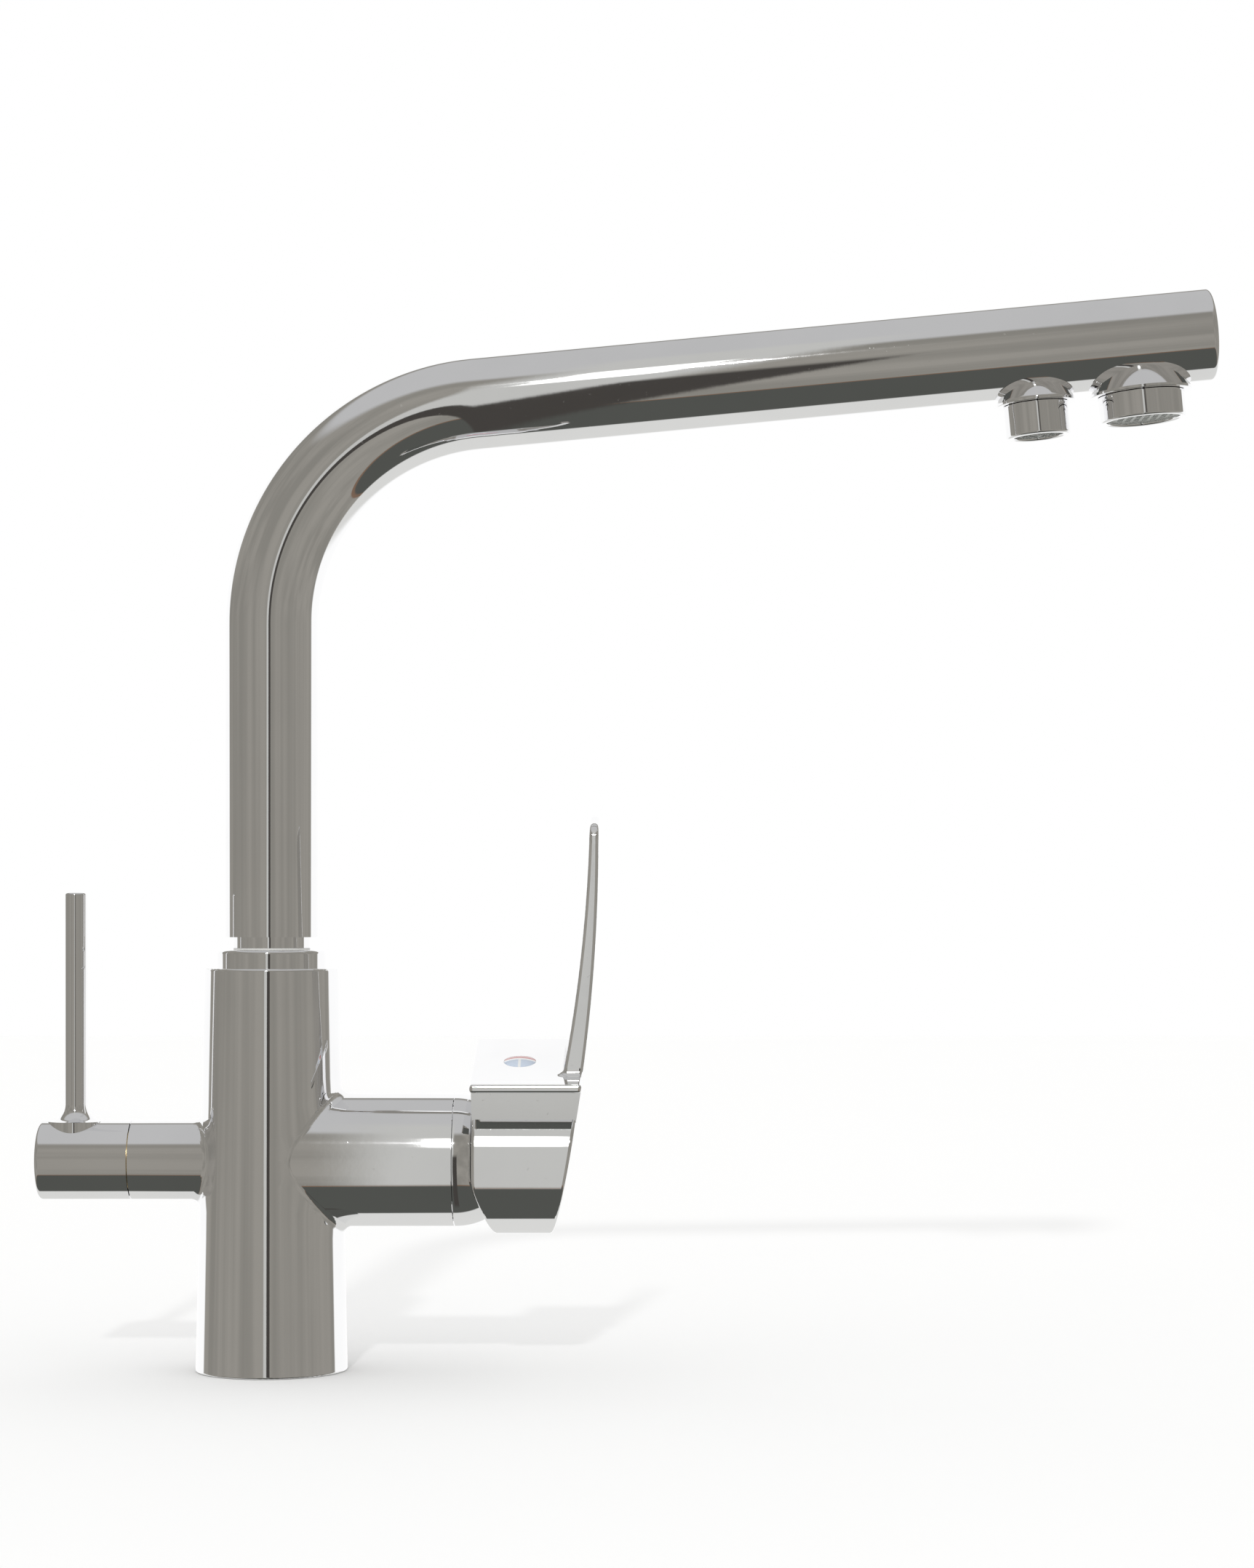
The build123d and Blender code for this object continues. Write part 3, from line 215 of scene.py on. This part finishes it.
# The turned neck and the nut's edge are plated where they show
slots.update(spout_insert="polished_chrome", cartridge_nut="polished_chrome")
for name, node in frame["nodes"].items():
    node.data.materials.clear()
    node.data.materials.append(finishes[slots[name]])

# Spout: the tube's section, its bend, the leg's slope, and the heights of its foot and of its corner
SIDES = 96
TURNS = [2 * pi * side / SIDES for side in range(SIDES)]
TUBE, BORE, BEND, RISE = 0.014, 0.0128, 0.068, radians(5.4)
FOOT, CORNER, LEG, SLEEVE = 0.1309, 0.2866, 0.2834, 0.012
BEND_TURN, BEND_STEPS = radians(90) - RISE, 48
SHARP_ANGLE = radians(35)

# Outlet bosses: depths below the leg's centreline, and the shape of their flares
ROOT, FLARE_START, FLARE_DROP, FLARE_STEPS, FLARE_POWER = -0.0050, -0.0078, 0.0075, 12, 1.15
FLARE_BULGE = 0.00025
FLANGE_TOP, FLANGE_FACE, FLANGE_EDGE = -0.01552, -0.0162, 0.00012
BORE_END = -0.0100


def skin(name, rings):
    """Chrome surface through a chain of rings, each with one point for every side."""
    vertices = [point for ring in rings for point in ring]
    faces = [
        (row + side, row + (side + 1) % SIDES, row + SIDES + (side + 1) % SIDES, row + SIDES + side)
        for row in range(0, len(vertices) - SIDES, SIDES)
        for side in range(SIDES)
    ]
    mesh = bpy.data.meshes.new(name)
    mesh.from_pydata(vertices, [], faces)
    made = bmesh.new()
    made.from_mesh(mesh)
    bmesh.ops.recalc_face_normals(made, faces=made.faces)
    made.to_mesh(mesh)
    made.free()
    mesh.shade_smooth()
    mesh.set_sharp_from_angle(angle=SHARP_ANGLE)
    mesh.materials.append(chrome)
    built = bpy.data.objects.new(name, mesh)
    scene.collection.objects.link(built)
    return built


def tube_ring(reach, height, turn, radius):
    """Ring about the tube's centreline, which has turned by an angle from upright."""
    outs = [(radius * cos(angle), radius * sin(angle)) for angle in TURNS]
    return [(reach + out * cos(turn), depth, height - out * sin(turn)) for out, depth in outs]


def boss_ring(along, radius, drop):
    """Ring about an axis square to the leg, at a distance along the leg from its corner."""
    outs = [(along + radius * cos(angle), radius * sin(angle)) for angle in TURNS]
    return [
        (reach * cos(RISE) - drop * sin(RISE), depth, CORNER + reach * sin(RISE) + drop * cos(RISE))
        for reach, depth in outs
    ]


# Tube, swept along its centreline, with an inner sleeve at its open lower end
run = BEND * tan(BEND_TURN / 2)
foot = (FOOT + SLEEVE, BORE), (FOOT, BORE), (FOOT, TUBE)
rings = [tube_ring(0.0, height, 0.0, radius) for height, radius in foot]
for step in range(BEND_STEPS + 1):
    turn = BEND_TURN * step / BEND_STEPS
    rings.append(tube_ring(BEND - BEND * cos(turn), CORNER - run + BEND * sin(turn), turn, TUBE))
rings.append(tube_ring(LEG * cos(RISE), CORNER + LEG * sin(RISE), BEND_TURN, TUBE))
spout = skin("spout_skin", rings)

# Bosses: a flared flange with softened edges, then the nipple with its bore
for label, along, neck, flange, nipple, bore, length in (
    ("mixed_boss", 0.2628, 0.0102, 0.0155, 0.0110, 0.0092, 0.0044),
    ("filter_boss", 0.2308, 0.0076, 0.0120, 0.0074, 0.0056, 0.0054),
):
    outline = [(neck, ROOT), (neck, FLARE_START)]
    for step in range(1, FLARE_STEPS + 1):
        share = step / FLARE_STEPS
        flare = neck + (flange - neck) * share**FLARE_POWER + FLARE_BULGE * sin(pi * share)
        outline.append((flare, FLARE_START - FLARE_DROP * share))
    outline += [
        (flange, FLANGE_TOP),
        (flange, FLANGE_FACE + FLANGE_EDGE),
        (flange - FLANGE_EDGE, FLANGE_FACE),
        (nipple, FLANGE_FACE),
        (nipple, FLANGE_FACE - length),
        (bore, FLANGE_FACE - length),
        (bore, BORE_END),
    ]
    boss = skin(label, [boss_ring(along, radius, drop) for radius, drop in outline])
    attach(boss, "spout")
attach(spout, "spout")
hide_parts("spout_tube")

# Floor: white, left out of reflections, so that the chrome shows the room
FLOOR_SIZE, FLOOR_DROP, FLOOR_CLOUDS = 6.0, 0.0002, 3.0
FLOOR_LIGHT, FLOOR_DARK = (0.985, 0.985, 0.98, 1), (0.975, 0.975, 0.97, 1)
bpy.ops.mesh.primitive_plane_add(size=FLOOR_SIZE, location=(0, 0, -FLOOR_DROP))
floor = bpy.context.object
floor.name = "floor"
material, nodes, inputs, place = new_material("floor_white")
nodes.feed(inputs["Base Color"], nodes.mix(nodes.noise(place, FLOOR_CLOUDS), FLOOR_LIGHT, FLOOR_DARK))
nodes.feed(inputs["Roughness"], 0.9)
nodes.feed(inputs["Specular IOR Level"], 0.1)
floor.data.materials.append(material)
floor.visible_glossy = False

# Room in the chrome, by direction: unevenly lit walls, a lighter ceiling, a brown edge with darkness
# below it, white behind the tap with a light grey table, and in front a glow with a window in it, a
# little to the user's left, and a dark upright strip
WALL, WALL_SHADE, CEILING = (0.315, 0.30, 0.27, 1), (0.25, 0.24, 0.215, 1), (0.52, 0.52, 0.52, 1)
BROWN, DARK, STRIP = (0.20, 0.13, 0.09, 1), (0.085, 0.088, 0.080, 1), (0.06, 0.055, 0.05, 1)
BEHIND, TABLE = (1.04, 1.04, 1.035, 1), (0.72, 0.72, 0.70, 1)
GLOW, WINDOW = (0.55, 0.55, 0.53, 1), (2.2, 2.2, 2.15, 1)
SOFT_LIGHT, BACKGROUND = (0.94, 0.94, 0.94, 1), (1, 1, 1, 1)
WALL_CLOUDS, WALL_DETAIL, WALL_RANGE = 2.2, 3.0, (0.35, 0.65)
# Pairs of the upward part of the direction: where a colour starts, and where it is full
CEILING_FROM, TABLE_FROM = (0.70, 0.80), (-0.25, -0.45)
BROWN_FROM, DARK_FROM = (-0.64, -0.65), (-0.66, -0.675)
# The white behind starts where the direction's part away from the user passes this, more for rays going up
BEHIND_SLOPE, BEHIND_FROM, BEHIND_EDGE = 0.33, 0.5, (-0.02, 0.04)
FRONT = (0.0, -0.2)
# Middle, and start and end of the soft edge about it, across and then up
GLOW_ACROSS, GLOW_UP = (-0.055, 0.06, 0.03), (0.13, 0.82, 0.74)
WINDOW_ACROSS, WINDOW_UP = (-0.057, 0.026, 0.016), (0.53, 0.14, 0.08)
STRIP_ACROSS, STRIP_TOP = (0.02, 0.05, 0.035), (0.25, 0.1)

world = bpy.data.worlds.new("studio")
scene.world = world
world.use_nodes = True
nodes = Nodes(world.node_tree)
output = nodes.add("ShaderNodeOutputWorld")
background = nodes.add("ShaderNodeBackground")
nodes.feed(output.inputs["Surface"], background.outputs[0])
direction = nodes.add("ShaderNodeTexCoord").outputs["Generated"]
across, away, up = nodes.add("ShaderNodeSeparateXYZ", Vector=direction).outputs
front = nodes.smooth(away, *FRONT)


def band(value, middle, start, full):
    return nodes.smooth(nodes.distance(value, middle), start, full)


uneven = nodes.smooth(nodes.noise(direction, WALL_CLOUDS, WALL_DETAIL), *WALL_RANGE)
room = nodes.mix(uneven, WALL, WALL_SHADE)
for limits, colour in ((CEILING_FROM, CEILING), (BROWN_FROM, BROWN), (DARK_FROM, DARK)):
    room = nodes.mix(nodes.smooth(up, *limits), room, colour)
edge = nodes.math("MULTIPLY_ADD", up, BEHIND_SLOPE, BEHIND_FROM)
behind = nodes.smooth(nodes.math("SUBTRACT", away, edge), *BEHIND_EDGE)
room = nodes.mix(behind, room, nodes.mix(nodes.smooth(up, *TABLE_FROM), BEHIND, TABLE))
for width, height, colour in (
    (band(across, *GLOW_ACROSS), band(up, *GLOW_UP), GLOW),
    (band(across, *STRIP_ACROSS), nodes.smooth(up, *STRIP_TOP), STRIP),
    (band(across, *WINDOW_ACROSS), band(up, *WINDOW_UP), WINDOW),
):
    room = nodes.mix(nodes.product(nodes.product(width, height), front), room, colour)
rays = nodes.add("ShaderNodeLightPath").outputs
sharp = nodes.math("MAXIMUM", rays["Is Glossy Ray"], rays["Is Transmission Ray"])
seen = nodes.mix(sharp, SOFT_LIGHT, room)
nodes.feed(background.inputs["Color"], nodes.mix(rays["Is Camera Ray"], seen, BACKGROUND))

# Sun over the user's left shoulder, for a light shadow on the floor
lamp = bpy.data.lights.new("sun", "SUN")
lamp.energy = 0.55
lamp.angle = radians(3.0)
sun = bpy.data.objects.new("sun", lamp)
scene.collection.objects.link(sun)
sun.rotation_euler = (radians(58.0), 0, radians(-3.0))

# Camera at the photograph's place
camera_data = bpy.data.cameras.new("camera")
camera_data.sensor_fit = "VERTICAL"
camera_data.sensor_height = 36.0
camera_data.lens = 76.8
camera_data.shift_x = -0.041
camera_data.shift_y = 0.089
camera = bpy.data.objects.new("camera", camera_data)
scene.collection.objects.link(camera)
camera.location = (0.127, -1.013, 0.135)
camera.rotation_euler = (radians(90.0), 0, 0)
scene.camera = camera
